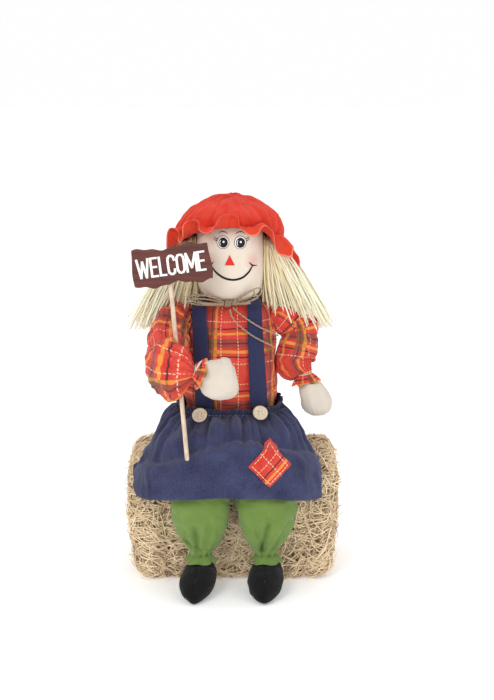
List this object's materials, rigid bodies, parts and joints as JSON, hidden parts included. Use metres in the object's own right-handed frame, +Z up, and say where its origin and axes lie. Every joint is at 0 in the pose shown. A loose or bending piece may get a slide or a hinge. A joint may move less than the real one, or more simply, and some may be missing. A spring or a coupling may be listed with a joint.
{
  "type": "scarecrow figure",
  "caption": "Soft scarecrow doll seated on a small straw bale, with jointed head, arms, legs and shoes, holding a sign on a stick",
  "frame": {"origin": "the middle of the straw bale's flat base, where the piece stands", "axes": "+X to the viewer's right, which is the doll's left, +Y to the back, +Z up; the doll faces -Y"},
  "size_m": [0.236, 0.2065, 0.441],
  "materials": {
    "straw": "dry straw and wood wool, loose curled strands",
    "twine": "twisted jute, hairy",
    "stuffing": "polyester fibre fill",
    "plaid": "brushed plain weave, printed plaid, matte",
    "denim": "thin slubbed denim, matte",
    "green_cloth": "plain weave, slight sheen",
    "skin_cloth": "fine unbleached muslin, matte",
    "red_cloth": "thin plain weave, matte",
    "raffia": "paper raffia, slight sheen",
    "black_felt": "pressed felt, very matte",
    "horn": "satin resin button with faint grain",
    "thread": "cotton thread",
    "elastic": "braided elastic",
    "pine": "sanded bare dowel",
    "sign_brown": "stained plywood with dark grain, satin",
    "glue": "hot-melt glue"
  },
  "bodies": {
    "root": {"straw_bale": "straw", "bale_tie_right": "twine", "bale_tie_left": "twine", "shirt_body": "plaid", "body_stuffing": "stuffing", "trousers_seat": "green_cloth", "skirt": "denim", "waistband": "denim", "waist_elastic": "elastic", "suspender_right": "denim", "suspender_left": "denim", "button_right": "horn", "button_left": "horn", "button_thread_right": "thread", "button_thread_left": "thread", "skirt_patch": "plaid", "neck_twine": "twine", "bow_knot": "twine", "bow_loop_right": "twine", "bow_loop_left": "twine", "bow_tail_right": "twine", "bow_tail_left": "twine"},
    "neck": {"neck_stem": "skin_cloth"},
    "head": {"head": "skin_cloth", "nose": "red_cloth", "hat_crown": "red_cloth", "hat_elastic": "elastic", "hat_ruffle": "red_cloth", "hair_right": "raffia", "hair_left": "raffia", "hair_back": "raffia"},
    "right_upper_arm": {"sleeve_upper_right": "plaid"},
    "right_forearm": {"sleeve_lower_right": "plaid", "cuff_right": "plaid", "wrist_tie_right": "thread", "hand_right": "skin_cloth"},
    "left_upper_arm": {"sleeve_upper_left": "plaid"},
    "left_forearm": {"sleeve_lower_left": "plaid", "cuff_left": "plaid", "wrist_tie_left": "thread", "hand_left": "skin_cloth"},
    "right_leg": {"trouser_leg_right": "green_cloth", "ankle_tie_right": "thread", "ankle_frill_right": "green_cloth"},
    "right_foot": {"shoe_right": "black_felt"},
    "left_leg": {"trouser_leg_left": "green_cloth", "ankle_tie_left": "thread", "ankle_frill_left": "green_cloth"},
    "left_foot": {"shoe_left": "black_felt"},
    "sign": {"sign_stick": "pine", "sign_board": "sign_brown", "sign_glue_bead": "glue"}
  },
  "joints": [
    {"name": "neck_nod", "type": "hinge", "parent": "root", "child": "neck", "pos_m": [-0.003, 0, 0.318], "axis": [1, 0, 0], "range_deg": [-8, 5], "stiffness_Nm_per_rad": 0.06},
    {"name": "head_turn", "type": "hinge", "parent": "neck", "child": "head", "pos_m": [-0.003, 0, 0.318], "axis": [0, 0, 1], "range_deg": [-12, 12], "deforming": ["hair_right", "hair_left", "hair_back"]},
    {"name": "right_shoulder", "type": "hinge", "parent": "root", "child": "right_upper_arm", "pos_m": [-0.06, -0.005, 0.298], "axis": [-1, 0, 0], "range_deg": [0, 18]},
    {"name": "right_elbow", "type": "hinge", "parent": "right_upper_arm", "child": "right_forearm", "pos_m": [-0.079, -0.047, 0.241], "axis": [0, 0, -1], "range_deg": [0, 35]},
    {"name": "left_shoulder", "type": "hinge", "parent": "root", "child": "left_upper_arm", "pos_m": [0.054, -0.003, 0.304], "axis": [-1, 0, 0], "range_deg": [-10, 40]},
    {"name": "left_elbow", "type": "hinge", "parent": "left_upper_arm", "child": "left_forearm", "pos_m": [0.086, -0.003, 0.281], "axis": [-1, 0, 0], "range_deg": [0, 35]},
    {"name": "right_knee", "type": "hinge", "parent": "root", "child": "right_leg", "pos_m": [-0.037, -0.088, 0.125], "axis": [-1, 0, 0], "range_deg": [0, 18]},
    {"name": "right_ankle", "type": "hinge", "parent": "right_leg", "child": "right_foot", "pos_m": [-0.037, -0.088, 0.035], "axis": [-1, 0, 0], "range_deg": [-10, 12]},
    {"name": "left_knee", "type": "hinge", "parent": "root", "child": "left_leg", "pos_m": [0.0385, -0.088, 0.125], "axis": [-1, 0, 0], "range_deg": [0, 18]},
    {"name": "left_ankle", "type": "hinge", "parent": "left_leg", "child": "left_foot", "pos_m": [0.0385, -0.088, 0.035], "axis": [-1, 0, 0], "range_deg": [-10, 12]},
    {"name": "sign_slide", "type": "slide", "parent": "root", "child": "sign", "axis": [-0.0926, 0.2041, 0.9746], "range_m": [0, 0.12]}
  ]
}
